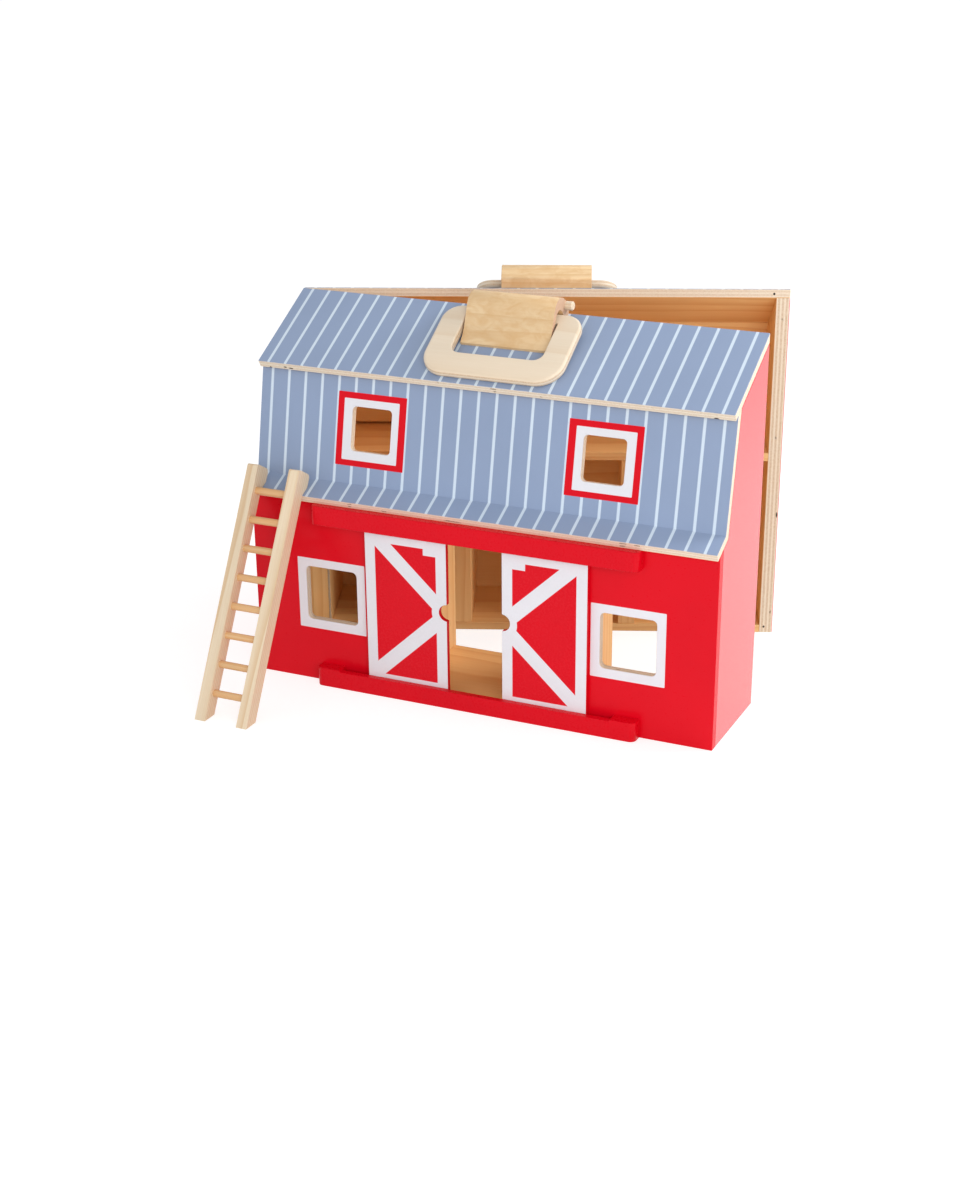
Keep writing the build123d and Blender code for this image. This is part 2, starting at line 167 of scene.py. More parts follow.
# Painted shade: the dark inside of core gaps in the plies, which the mesh does not hollow out.
CORE_GAP_SHADE = from_srgb(96, 66, 44)
# Painted shade: the near-black inside of sunk nail holes and voids, which the mesh does not hollow out.
HOLE_SHADE = from_srgb(52, 40, 32)
END_GRAIN = from_srgb(196, 158, 138)
RING_PLY_LINE = from_srgb(204, 166, 124)
STEEL_STAIN = from_srgb(150, 140, 124)


def paint_chip(name, description, red, green, blue):
    return bpy.props.FloatVectorProperty(
        name=name, description=description, subtype="COLOR", size=3, min=0, max=1,
        default=from_srgb(red, green, blue),
    )


def length(name, description, metres):
    return bpy.props.FloatProperty(
        name=name, description=description, subtype="DISTANCE", unit="LENGTH", min=0, default=metres,
        precision=5,
    )


class ToyBarnFinish(bpy.types.PropertyGroup):
    """Colours of the paints and of the bare woods"""

    barn_red: paint_chip("Barn red", "Gloss paint on walls, sides, rails and doors", 226, 6, 30)
    trim_white: paint_chip("Trim white", "Painted window frames, door frames and braces", 236, 236, 242)
    roof_blue: paint_chip("Roof blue", "Satin paint on the roof sheets", 150, 167, 197)
    stripe_pale: paint_chip("Stripe", "Pale seam stripes on the roof", 216, 231, 246)
    ply_pale: paint_chip("Ply edge", "Light plies and bare ply faces", 246, 232, 212)
    ply_dark: paint_chip("Ply glue line", "Darker plies and glue lines", 212, 182, 146)
    pine_pale: paint_chip("Pine", "Early wood of the bare pine", 252, 206, 142)
    pine_dark: paint_chip("Pine late wood", "Late wood of the bare pine", 226, 160, 96)
    saddle_pale: paint_chip("Saddle", "Moulded block of the handle", 246, 216, 172)
    saddle_dark: paint_chip("Saddle figure", "Mottled figure of the block", 222, 178, 122)
    birch_pale: paint_chip("Ring face", "Lacquered birch of the rings", 243, 226, 202)
    birch_dark: paint_chip("Ring figure", "Faint figure of the birch", 226, 198, 162)
    ladder_pale: paint_chip("Ladder rail", "Pale pine of the ladder rails", 246, 227, 198)
    ladder_dark: paint_chip("Ladder figure", "Late wood of the ladder rails", 226, 190, 146)
    rung_pale: paint_chip("Rung", "Dowel rungs", 232, 190, 140)
    steel: paint_chip("Steel", "Plated steel of the hinges", 190, 190, 192)


class ToyBarnSizes(bpy.types.PropertyGroup):
    """Sizes of the painted pattern and of the broken edges"""

    stripe_pitch: length("Stripe pitch", "Distance between roof stripes", 0.0128)
    stripe_width: length("Stripe width", "Width of a roof stripe", 0.0020)
    door_stile: length("Door stile", "White stile at each edge of a door", 0.0076)
    brace_width: length("Brace width", "White diagonal braces", 0.010)
    edge_round: length("Edge round", "Broken edges of the painted boards", 0.0005)
    paint_wrap: length("Paint wrap", "How far paint creeps round a board's edge", 0.0004)


# ---------------------------------------------------------------- node building
class Net:
    """Adds nodes to one tree. A value that is a socket is linked, anything else is set on the input."""

    def __init__(self, tree):
        self.tree = tree

    def add(self, kind, **settings):
        node = self.tree.nodes.new(kind)
        for name, value in settings.items():
            setattr(node, name, value)
        return node

    def feed(self, socket, value):
        if isinstance(value, bpy.types.NodeSocket):
            self.tree.links.new(value, socket)
        else:
            socket.default_value = value

    def math(self, operation, first, second=0.0):
        node = self.add("ShaderNodeMath", operation=operation)
        self.feed(node.inputs[0], first)
        self.feed(node.inputs[1], second)
        return node.outputs[0]

    def vector(self, operation, first, second=None):
        """Vector maths. A dot product or a length gives a value, anything else a vector."""
        node = self.add("ShaderNodeVectorMath", operation=operation)
        self.feed(node.inputs[0], first)
        if second is not None:
            self.feed(node.inputs["Scale" if operation == "SCALE" else 1], second)
        return node.outputs["Value" if operation in ("DOT_PRODUCT", "LENGTH") else "Vector"]

    def most(self, *values):
        result = values[0]
        for value in values[1:]:
            result = self.math("MAXIMUM", result, value)
        return result

    def least(self, *values):
        result = values[0]
        for value in values[1:]:
            result = self.math("MINIMUM", result, value)
        return result

    def step(self, value, edge, soft):
        """1 where value is above edge, blending over soft to each side."""
        node = self.add("ShaderNodeMapRange", interpolation_type="SMOOTHSTEP", clamp=True)
        self.feed(node.inputs["Value"], value)
        self.feed(node.inputs["From Min"], edge - soft)
        self.feed(node.inputs["From Max"], edge + soft)
        return node.outputs["Result"]

    def below(self, value, edge, soft):
        """1 where value is below edge, blending over soft to each side."""
        return self.step(self.math("MULTIPLY", value, -1.0), -edge, soft)

    def spread(self, value, low, high, to_low, to_high):
        """The range from low to high mapped to another range, and held at its ends."""
        node = self.add("ShaderNodeMapRange", clamp=True)
        labels = ("Value", "From Min", "From Max", "To Min", "To Max")
        for label, given in zip(labels, (value, low, high, to_low, to_high)):
            self.feed(node.inputs[label], given)
        return node.outputs["Result"]

    def mix_values(self, factor, first, second):
        node = self.add("ShaderNodeMix", data_type="FLOAT")
        for index, value in zip((0, 2, 3), (factor, first, second)):
            self.feed(node.inputs[index], value)
        return node.outputs[0]

    def blend(self, factor, first, second):
        """Two colours mixed. A plain colour gets its alpha here."""
        node = self.add("ShaderNodeMix", data_type="RGBA", blend_type="MIX", clamp_factor=True)
        self.feed(node.inputs[0], factor)
        for socket, value in ((node.inputs[6], first), (node.inputs[7], second)):
            if not isinstance(value, bpy.types.NodeSocket) and len(value) == 3:
                value = (*value, 1.0)
            self.feed(socket, value)
        return node.outputs[2]

    def tone(self, colour, value):
        """A colour made lighter or darker by a value near 1."""
        node = self.add("ShaderNodeHueSaturation")
        self.feed(node.inputs["Color"], colour)
        self.feed(node.inputs["Value"], value)
        return node.outputs[0]

    def split(self, vector):
        node = self.add("ShaderNodeSeparateXYZ")
        self.feed(node.inputs[0], vector)
        return node.outputs[0], node.outputs[1], node.outputs[2]

    def turn(self, vector, location=(0, 0, 0), rotation=(0, 0, 0), scale=(1, 1, 1)):
        node = self.add("ShaderNodeMapping", vector_type="POINT")
        self.feed(node.inputs["Vector"], vector)
        self.feed(node.inputs["Location"], location)
        self.feed(node.inputs["Rotation"], rotation)
        self.feed(node.inputs["Scale"], scale)
        return node.outputs[0]

    def noise(self, vector, scale, detail=2.0, roughness=0.5, distortion=0.0):
        node = self.add("ShaderNodeTexNoise", noise_dimensions="3D")
        self.feed(node.inputs["Vector"], vector)
        labels = ("Scale", "Detail", "Roughness", "Distortion")
        for label, value in zip(labels, (scale, detail, roughness, distortion)):
            self.feed(node.inputs[label], value)
        return node.outputs["Fac"]

    def use(self, name, **values):
        node = self.add("ShaderNodeGroup", node_tree=bpy.data.node_groups[name])
        for label, value in values.items():
            self.feed(node.inputs[label.replace("_", " ")], value)
        return node

    def bump(self, height, distance, strength=1.0):
        node = self.add("ShaderNodeBump")
        self.feed(node.inputs["Height"], height)
        self.feed(node.inputs["Distance"], distance)
        self.feed(node.inputs["Strength"], strength)
        return node.outputs["Normal"]


def new_group(name, inputs, outputs):
    """An empty shader node group with its sockets, its input node and its output node."""
    tree = bpy.data.node_groups.new(name, "ShaderNodeTree")
    for label, kind, default in inputs:
        socket = tree.interface.new_socket(label, in_out="INPUT", socket_type="NodeSocket" + kind)
        socket.default_value = default
    for label, kind in outputs:
        tree.interface.new_socket(label, in_out="OUTPUT", socket_type="NodeSocket" + kind)
    net = Net(tree)
    return net, net.add("NodeGroupInput").outputs, net.add("NodeGroupOutput").inputs


def build_patch_group():
    """A rectangle with rounded corners, laid on two coordinates."""
    inputs = [(label, "Float", default) for label, default in (
        ("Across", 0), ("Up", 0), ("Middle Across", 0), ("Middle Up", 0), ("Half Width", 0.01),
        ("Half Height", 0.01), ("Corner", 0.0005), ("Soft", PATTERN_SOFT),
    )]
    net, given, out = new_group("painted_patch", inputs, [("Mask", "Float")])
    sides = []
    for along, middle, half in (
        ("Across", "Middle Across", "Half Width"), ("Up", "Middle Up", "Half Height"),
    ):
        away = net.math("ABSOLUTE", net.math("SUBTRACT", given[along], given[middle]))
        sides.append(net.math("SUBTRACT", away, net.math("SUBTRACT", given[half], given["Corner"])))
    outside = [net.math("MAXIMUM", side, 0.0) for side in sides]
    squares = net.math("ADD", *[net.math("MULTIPLY", side, side) for side in outside])
    inside = net.math("MINIMUM", net.most(*sides), 0.0)
    distance = net.math("SUBTRACT", net.math("ADD", net.math("SQRT", squares), inside), given["Corner"])
    scaled = net.math("DIVIDE", distance, given["Soft"])
    net.feed(out["Mask"], net.spread(scaled, -1.0, 1.0, 1.0, 0.0))


def build_stripe_group():
    """Stripes at a pitch, the first half a pitch from the middle."""
    inputs = [
        ("Across", "Float", 0), ("Pitch", "Float", 0.0128), ("Width", "Float", 0.0022),
        ("Soft", "Float", 0.00015),
    ]
    net, given, out = new_group("seam_stripes", inputs, [("Mask", "Float")])
    turns = net.math("DIVIDE", given["Across"], given["Pitch"])
    part = net.math("SUBTRACT", net.math("FRACT", turns), 0.5)
    away = net.math("MULTIPLY", net.math("ABSOLUTE", part), given["Pitch"])
    edge = net.math("SUBTRACT", away, net.math("MULTIPLY", given["Width"], 0.5))
    net.feed(out["Mask"], net.spread(net.math("DIVIDE", edge, given["Soft"]), -1.0, 1.0, 1.0, 0.0))


def build_depth_group():
    """How deep a point lies under a plane that is given by a point on it and its outward normal."""
    inputs = [
        ("Vector", "Vector", (0, 0, 0)), ("Point", "Vector", (0, 0, 0)), ("Normal", "Vector", (0, 0, 1)),
    ]
    net, given, out = new_group("depth_under_face", inputs, [("Depth", "Float")])
    offset = net.vector("SUBTRACT", given["Point"], given["Vector"])
    net.feed(out["Depth"], net.vector("DOT_PRODUCT", offset, given["Normal"]))


def build_wood_group():
    """Solid wood with its grain along Z: growth rings round a far centre, and fine fibres."""
    inputs = [
        ("Vector", "Vector", (0, 0, 0)), ("Centre", "Vector", (0.05, 0.08, 0)),
        ("Ring Width", "Float", 0.0025), ("Wander", "Float", 0.006), ("Fibre", "Float", 900.0),
    ]
    net, given, out = new_group("sawn_wood", inputs, [("Rings", "Float"), ("Fibres", "Float")])
    long_way = net.turn(given["Vector"], scale=(14.0, 14.0, 2.2))
    wander = net.add("ShaderNodeTexNoise", noise_dimensions="3D")
    net.feed(wander.inputs["Vector"], long_way)
    net.feed(wander.inputs["Scale"], 1.0)
    net.feed(wander.inputs["Detail"], 3.0)
    centred = net.vector("SUBTRACT", wander.outputs["Color"], (0.5, 0.5, 0.5))
    sway = net.vector("SCALE", centred, given["Wander"])
    moved = net.vector("SUBTRACT", net.vector("ADD", given["Vector"], sway), given["Centre"])
    radius = net.vector("LENGTH", net.vector("MULTIPLY", moved, (1, 1, 0)))
    turns = net.math("DIVIDE", radius, given["Ring Width"])
    year = net.math("FRACT", turns)
    late = net.math("POWER", year, 2.6)
    fall = net.spread(year, 0.93, 1.0, 1.0, 0.0)
    net.feed(out["Rings"], net.math("MULTIPLY", late, fall))
    fibre_way = net.turn(given["Vector"], scale=(1.0, 1.0, 0.035))
    fibres = net.noise(fibre_way, given["Fibre"], 3.0, 0.6)
    net.feed(out["Fibres"], fibres)


def build_ply_group():
    """The cut edge of plywood, by depth: pale long-grain plies, darker end-grain plies, thin glue lines."""
    inputs = [
        ("Depth", "Float", 0), ("Thickness", "Float", SHEET), ("Plies", "Float", 5.0),
        ("Vector", "Vector", (0, 0, 0)),
    ]
    net, given, out = new_group("ply_edge", inputs, [("Dark", "Float"), ("Glue", "Float")])
    ripple = net.noise(given["Vector"], 160.0, 2.0)
    shifted = net.math("ADD", given["Depth"], net.math("MULTIPLY", net.math("SUBTRACT", ripple, 0.5), 0.0004))
    count = net.math("MULTIPLY", net.math("DIVIDE", shifted, given["Thickness"]), given["Plies"])
    pair = net.math("FRACT", net.math("MULTIPLY", count, 0.5))
    dark = net.step(pair, 0.5, 0.06)
    single = net.math("ABSOLUTE", net.math("SUBTRACT", net.math("FRACT", count), 0.5))
    pores = net.noise(given["Vector"], 1500.0, 1.0)
    net.feed(out["Dark"], net.math("MULTIPLY", dark, net.spread(pores, 0.35, 0.65, 0.45, 1.0)))
    net.feed(out["Glue"], net.step(single, 0.45, 0.04))


def build_hole_group():
    """The mask of a small hole, void or sunk nail, as a soft ball at a point; the hole is filled with painted
    shade.
    """
    inputs = [
        ("Vector", "Vector", (0, 0, 0)), ("Centre", "Vector", (0, 0, 0)),
        ("Reach", "Vector", (0.001, 0.001, 0.001)),
    ]
    net, given, out = new_group("small_hole", inputs, [("Mask", "Float")])
    scaled = net.vector("DIVIDE", net.vector("SUBTRACT", given["Vector"], given["Centre"]), given["Reach"])
    rough = net.noise(given["Vector"], 1400.0, 2.0)
    ragged = net.math("MULTIPLY", net.math("SUBTRACT", rough, 0.5), 0.5)
    away = net.math("ADD", net.vector("LENGTH", scaled), ragged)
    net.feed(out["Mask"], net.spread(away, 0.75, 1.1, 1.0, 0.0))


def build_film_group():
    """A brushed and sprayed paint film: slow change of tone, orange peel and dust under the gloss."""
    inputs = [("Color", "Color", (1, 1, 1, 1)), ("Vector", "Vector", (0, 0, 0)), ("Gloss", "Float", 0.25)]
    outputs = [("Color", "Color"), ("Roughness", "Float"), ("Height", "Float")]
    net, given, out = new_group("paint_film", inputs, outputs)
    slow = net.noise(given["Vector"], 14.0, 3.0)
    peel = net.noise(given["Vector"], 700.0, 2.0)
    grain = net.noise(net.turn(given["Vector"], scale=(1.0, 1.0, 0.08)), 420.0, 2.0)
    net.feed(out["Color"], net.tone(given["Color"], net.spread(slow, 0.3, 0.7, 0.965, 1.035)))
    net.feed(out["Roughness"], net.math("ADD", given["Gloss"], net.spread(peel, 0.3, 0.7, -0.03, 0.05)))
    height = net.math("ADD", net.math("MULTIPLY", peel, 0.35), net.math("MULTIPLY", grain, 0.65))
    net.feed(out["Height"], height)


# ---------------------------------------------------------------- materials
def start(name, half):
    """A material, its net, its shader and the point in the frame of that half of the barn."""
    made = bpy.data.materials.new(name)
    made.use_nodes = True
    net = Net(made.node_tree)
    shader = made.node_tree.nodes["Principled BSDF"]
    point = net.add("ShaderNodeTexCoord").outputs["Object"]
    back = HALVES[half].inverted()
    turned = back.to_euler()
    point = net.turn(point, location=tuple(back.translation), rotation=tuple(turned))
    return made, net, shader, point


def bare_wood(
    net, point, pale, dark, grain, ring=0.0026, centre=(0.03, 0.09, 0), wander=0.008, depth=1.0
):
    """Colour, roughness and height of bare wood with its grain along X, along Z or turned by three angles."""
    rotation = {"X": (0, math.radians(-90), 0), "Z": (0, 0, 0)}.get(grain, grain)
    along = net.turn(point, rotation=rotation)
    wood = net.use("sawn_wood", Vector=along, Centre=centre, Ring_Width=ring, Wander=wander)
    late = net.math("MULTIPLY", wood.outputs["Rings"], depth)
    colour = net.blend(late, pale, dark)
    slow = net.noise(net.turn(along, scale=(1, 1, 0.25)), 22.0, 2.0)
    streak = net.math("MULTIPLY", net.spread(wood.outputs["Fibres"], 0.3, 0.7, 0.0, 1.0), 0.3 * depth)
    colour = net.blend(streak, colour, dark)
    colour = net.tone(colour, net.spread(slow, 0.3, 0.7, 0.93, 1.06))
    height = net.math("SUBTRACT", wood.outputs["Fibres"], net.math("MULTIPLY", wood.outputs["Rings"], 0.5))
    return colour, net.spread(wood.outputs["Fibres"], 0.3, 0.7, 0.5, 0.62), height


def ply_faces(net, point, depth, thickness, finish, plies=5.0, contrast=0.42):
    """Colour and height of bare plywood, with the plies and a few core gaps on its cut edges; the gaps are
    real voids coloured with painted shade.
    """
    edge = net.use("ply_edge", Depth=depth, Thickness=thickness, Plies=plies, Vector=point)
    speck = net.noise(point, 900.0, 2.0)
    # The core gaps are real voids in the plies, coloured dark as painted shade in their hollow.
    gaps = net.spread(net.noise(point, 95.0, 2.0), 0.69, 0.72, 0.0, 0.75)
    core_gap_shade = net.math("MULTIPLY", gaps, edge.outputs["Dark"])
    colour = net.blend(net.math("MULTIPLY", edge.outputs["Dark"], contrast), finish.ply_pale, finish.ply_dark)
    colour = net.blend(net.math("MULTIPLY", edge.outputs["Glue"], 0.3), colour, finish.ply_dark)
    colour = net.blend(net.spread(speck, 0.45, 0.7, 0.0, 0.22), colour, finish.ply_dark)
    colour = net.blend(core_gap_shade, colour, CORE_GAP_SHADE)
    return colour, speck


def lay_paint(net, shader, bare, painted, mask, coat=THIN_COAT, holes=(), point=None):
    """Joins bare wood and paint, each as (colour, roughness, height), then darkens the small holes with
    painted shade.
    """
    shader.inputs["Specular IOR Level"].default_value = PAINT_SPECULAR
    colour = net.blend(mask, bare[0], painted[0])
    # Each hole is coloured with painted shade, standing in for the hollow that the mesh lacks.
    for centre, reach in holes:
        hole = net.use("small_hole", Vector=point, Centre=centre, Reach=reach).outputs[0]
        colour = net.blend(hole, colour, HOLE_SHADE)
    net.feed(shader.inputs["Base Color"], colour)
    net.feed(shader.inputs["Roughness"], net.mix_values(mask, bare[1], painted[1]))
    net.feed(shader.inputs["Coat Weight"], net.math("MULTIPLY", mask, coat))
    shader.inputs["Coat Roughness"].default_value = COAT_ROUGHNESS
    relief = net.math("ADD", net.math("MULTIPLY", painted[2], FILM_RELIEF), FILM_RISE)
    net.feed(shader.inputs["Normal"], net.bump(net.mix_values(mask, bare[2], relief), FILM_DEPTH, 0.8))


def film(net, colour, point, gloss):
    """Colour, roughness and height of a paint film."""
    made = net.use("paint_film", Vector=point, Gloss=gloss)
    net.feed(made.inputs["Color"], colour if isinstance(colour, bpy.types.NodeSocket) else (*colour, 1.0))
    return made.outputs["Color"], made.outputs["Roughness"], made.outputs["Height"]


def face_depth(net, point, on, normal):
    """How deep the point lies under the plane through on."""
    return net.use("depth_under_face", Vector=point, Point=tuple(on), Normal=tuple(normal)).outputs[0]


def patch(net, across, up, frame_sizes, corner=FRAME_CORNER):
    """The mask of a painted rectangle."""
    middle_across, middle_up, half_width, half_height = frame_sizes
    return net.use(
        "painted_patch", Across=across, Up=up, Middle_Across=middle_across, Middle_Up=middle_up,
        Half_Width=half_width, Half_Height=half_height, Corner=corner,
    ).outputs[0]


def worn(net, point, value, reach):
    """A paint boundary that wavers a little, as on a broken edge."""
    waver = net.math("MULTIPLY", net.math("SUBTRACT", net.noise(point, 220.0, 3.0), 0.5), reach)
    return net.math("ADD", value, waver)


def paint_skin(net, point, depth, sizes, waver=0.0003):
    """1 in the thin painted skin of a board, 0 in the bare wood under it."""
    return net.below(worn(net, point, depth, waver), sizes.paint_wrap, PAINT_SOFT)


def put_on(material_made, *nodes):
    for name in nodes:
        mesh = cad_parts[name].data
        mesh.materials.clear()
        mesh.materials.append(material_made)


def soften(width, *nodes):
    """Breaks the sharp edges of boards as sanding does, without touching their meshes."""
    for name in nodes:
        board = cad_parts[name]
        weld = board.modifiers.new("joined", "WELD")
        weld.merge_threshold = 0.00001
        flat = board.modifiers.new("flat_faces", "DECIMATE")
        flat.decimate_type = "DISSOLVE"
        flat.angle_limit = math.radians(0.3)
        edge = board.modifiers.new("broken_edges", "BEVEL")
        edge.width = width
        edge.segments = 2
        edge.limit_method = "ANGLE"
        edge.angle_limit = math.radians(38)
        edge.harden_normals = True
        edge.use_clamp_overlap = True


def lip_void(x, depth, reach):
    """A core void in the cut end of an upper roof sheet."""
    middle = LIP - UP_NORMAL * depth
    return (x, middle.y, middle.z), reach


# Sunk nails and core voids that show on the cut edges, each as (centre, reach), in the frame of the half.
# Each real hole is drawn only as a spot of painted shade, with no hollow in the mesh.
ROOF_HOLES = {
    ("front", "upper"): (
        lip_void(-0.1597, 0.0052, (0.0011, 0.0009, 0.0008)),
        lip_void(-0.1480, 0.0034, (0.0013, 0.0006, 0.0005)),
        lip_void(-0.1438, 0.0040, (0.0019, 0.0006, 0.0005)),
        lip_void(0.1554, 0.0052, (0.0018, 0.0010, 0.0010)),
    ),
    ("back", "upper"): (((-0.1569, 0, 0.2513), (0.0009, 0.0009, 0.0009)),),
}
SIDE_HOLES = {
    "front": (
        ((0.1632, 0, 0.0050), (0.0008, 0.0008, 0.0008)),
        ((-0.1630, 0, 0.2290), (0.0008, 0.0008, 0.0008)),
    ),
    "back": (
        ((-0.1617, 0, 0.0046), (0.0009, 0.0009, 0.0009)),
        ((-0.1668, 0, 0.0915), (0.0006, 0.0007, 0.0022)),
        ((0.1624, 0, 0.0052), (0.0008, 0.0008, 0.0008)),
    ),
}


def roof_material(half, sheet, finish, sizes, windows):
    """Blue paint with pale seam stripes over ply; the sheet's inner face is pine."""
    made, net, shader, point = start(f"{half}_{sheet}_roof_paint", half)
    x = net.split(point)[0]
    if sheet == "upper":
        depth = face_depth(net, point, RIDGE, UP_NORMAL)
    else:
        steep_depth = face_depth(net, point, KICK, STEEP_NORMAL)
        depth = net.most(steep_depth, face_depth(net, point, KICK, EAVE_NORMAL))
    mask = paint_skin(net, point, depth, sizes)
    stripes = net.use("seam_stripes", Across=x, Pitch=sizes.stripe_pitch, Width=sizes.stripe_width).outputs[0]
    colour = net.blend(stripes, finish.roof_blue, finish.stripe_pale)
    if windows:
        up = face_depth(net, point, KICK, -STEEP)
        across = net.math("ABSOLUTE", x)
        colour = net.blend(patch(net, across, up, LOFT_RED_FRAME), colour, finish.barn_red)
        colour = net.blend(patch(net, across, up, LOFT_WHITE_FRAME), colour, finish.trim_white)
    painted = film(net, colour, point, 0.42)
    plies = ply_faces(net, point, depth, SHEET, finish)
    wood = bare_wood(net, point, finish.pine_pale, finish.pine_dark, "X", 0.007, (0.01, 0.3, 0), 0.03, 0.6)
    bare = net.blend(net.step(depth, SHEET - 0.0003, INNER_SOFT), plies[0], wood[0])
    holes = ROOF_HOLES.get((half, sheet), ())
    lay_paint(net, shader, (bare, wood[1], wood[2]), painted, mask, holes=holes, point=point)
    return made


def wall_material(half, finish, sizes, windows):
    """Red paint over ply, with white window frames on the front wall; the inner face is pine."""
    made, net, shader, point = start(f"{half}_wall_paint", half)
    x, y, z = net.split(point)
    depth = net.math("ADD", y, HALF_DEPTH)
    across = net.math("ABSOLUTE", x)
    shallow = net.least(depth, net.math("SUBTRACT", HALF_WIDTH, across))
    mask = paint_skin(net, point, shallow, sizes)
    colour = finish.barn_red
    if windows:
        colour = net.blend(patch(net, across, z, WALL_WHITE_FRAME), finish.barn_red, finish.trim_white)
    painted = film(net, colour, point, 0.3)
    plies = ply_faces(net, point, depth, WALL, finish)
    wood = bare_wood(net, point, finish.pine_pale, finish.pine_dark, "X", 0.006, (0.01, 0.3, 0), 0.02, 0.6)
    bare = net.blend(net.step(depth, WALL - 0.0003, INNER_SOFT), plies[0], wood[0])
    lay_paint(net, shader, (bare, wood[1], wood[2]), painted, mask)
    return made


def side_material(half, finish, sizes):
    """Glossy red paint outside, plies on the cut edges and pine inside."""
    made, net, shader, point = start(f"{half}_side_paint", half)
    depth = net.math("SUBTRACT", HALF_WIDTH, net.math("ABSOLUTE", net.split(point)[0]))
    mask = paint_skin(net, point, depth, sizes)
    wood = bare_wood(net, point, finish.pine_pale, finish.pine_dark, "Z", 0.0045, (0.19, -0.16, 0), 0.02, 0.6)
    plies = ply_faces(net, point, depth, SIDE, finish, 7.0, 0.8)
    bare = net.blend(net.step(depth, SIDE - 0.0003, INNER_SOFT), plies[0], wood[0])
    painted = film(net, finish.barn_red, point, 0.16)
    bare_side = (bare, wood[1], wood[2])
    lay_paint(net, shader, bare_side, painted, mask, coat=0.72, holes=SIDE_HOLES[half], point=point)
    shader.inputs["Coat IOR"].default_value = 1.57
    return made


def rail_material(finish):
    """Red paint all round, with a slight ripple."""
    made, net, shader, point = start("rail_paint", "front")
    painted = film(net, finish.barn_red, point, 0.28)
    net.feed(shader.inputs["Base Color"], painted[0])
    net.feed(shader.inputs["Roughness"], painted[1])
    shader.inputs["Specular IOR Level"].default_value = RAIL_SPECULAR
    shader.inputs["Coat Weight"].default_value = THIN_COAT
    shader.inputs["Coat Roughness"].default_value = COAT_ROUGHNESS
    net.feed(shader.inputs["Normal"], net.bump(net.noise(point, 90.0, 2.0), 0.0001, 0.3))
    return made


def door_material(side, finish, sizes):
    """Red with a white frame, two braces that meet at the notch, and a white corner block."""
    made, net, shader, point = start(f"{side}_door_paint", "front")
    x, y, z = net.split(point)
    outward = -1.0 if side == "left" else 1.0
    across = net.math("MULTIPLY", net.math("SUBTRACT", x, DOOR_MIDDLES[side]), outward)
    stile = net.step(net.math("ABSOLUTE", across), DOOR_HALF_WIDTH - sizes.door_stile, PATTERN_SOFT)
    bottom = net.below(z, DOOR_BOTTOM_BAND, PATTERN_SOFT)
    top = net.step(z, DOOR_TOP_BAND, PATTERN_SOFT)
    corner = patch(net, across, z, DOOR_CORNER_BLOCK, BLOCK_CORNER)
    from_notch = net.math("ADD", across, DOOR_HALF_WIDTH)
    rise = net.math("MULTIPLY", from_notch, BRACE_RISE)
    from_middle = net.math("ABSOLUTE", net.math("SUBTRACT", z, BRACE_Z))
    away = net.math("ABSOLUTE", net.math("SUBTRACT", from_middle, rise))
    brace = net.below(away, sizes.brace_width / 2 * BRACE_SLANT, BRACE_SOFT)
    legs = (from_notch, net.math("SUBTRACT", z, NOTCH_Z))
    squares = [net.math("MULTIPLY", leg, leg) for leg in legs]
    halo = net.below(net.math("SQRT", net.math("ADD", *squares)), HALO_RADIUS, HALO_SOFT)
    depth = net.math("ADD", y, DOOR_FACE)
    front_face = net.below(depth, PAINT_SKIN, PAINT_SOFT)
    white = net.math("MULTIPLY", net.most(stile, bottom, top, corner, brace, halo), front_face)
    colour = net.blend(white, finish.barn_red, finish.trim_white)
    painted = film(net, colour, point, 0.26)
    to_back = net.math("ABSOLUTE", net.math("SUBTRACT", depth, DOOR))
    mask = paint_skin(net, point, net.least(net.math("ABSOLUTE", depth), to_back), sizes, 0.0002)
    plies = ply_faces(net, point, depth, DOOR, finish, 3.0)
    edge = film(net, finish.barn_red, point, 0.4)
    lay_paint(net, shader, (edge[0], 0.5, plies[1]), painted, mask)
    return made


def plain_wood_material(name, half, pale, dark, grain, **choices):
    """Bare wood all over; the choices are those of bare_wood."""
    made, net, shader, point = start(name, half)
    colour, rough, height = bare_wood(net, point, pale, dark, grain, **choices)
    net.feed(shader.inputs["Base Color"], colour)
    net.feed(shader.inputs["Roughness"], rough)
    net.feed(shader.inputs["Normal"], net.bump(height, 0.00005, 0.7))
    return made


def saddle_material(half, finish):
    """Moulded laminated block: a mottled figure across the crown and greyer end grain."""
    made, net, shader, point = start(f"{half}_saddle_wood", half)
    wood = bare_wood(
        net, point, finish.saddle_pale, finish.saddle_dark, "X", 0.0045, (0.02, 0.2, 0), 0.03, 0.6
    )
    mottle = net.noise(net.turn(point, scale=(1.0, 1.6, 1.6)), 75.0, 3.0, 0.55, 1.2)
    colour = net.blend(net.spread(mottle, 0.4, 0.68, 0.0, 0.6), wood[0], finish.saddle_dark)
    end = net.step(net.math("ABSOLUTE", net.split(point)[0]), 0.03115, 0.00006)
    colour = net.blend(net.math("MULTIPLY", end, 0.75), colour, END_GRAIN)
    net.feed(shader.inputs["Base Color"], colour)
    net.feed(shader.inputs["Roughness"], wood[1])
    net.feed(shader.inputs["Normal"], net.bump(wood[2], 0.00004, 0.6))
    return made


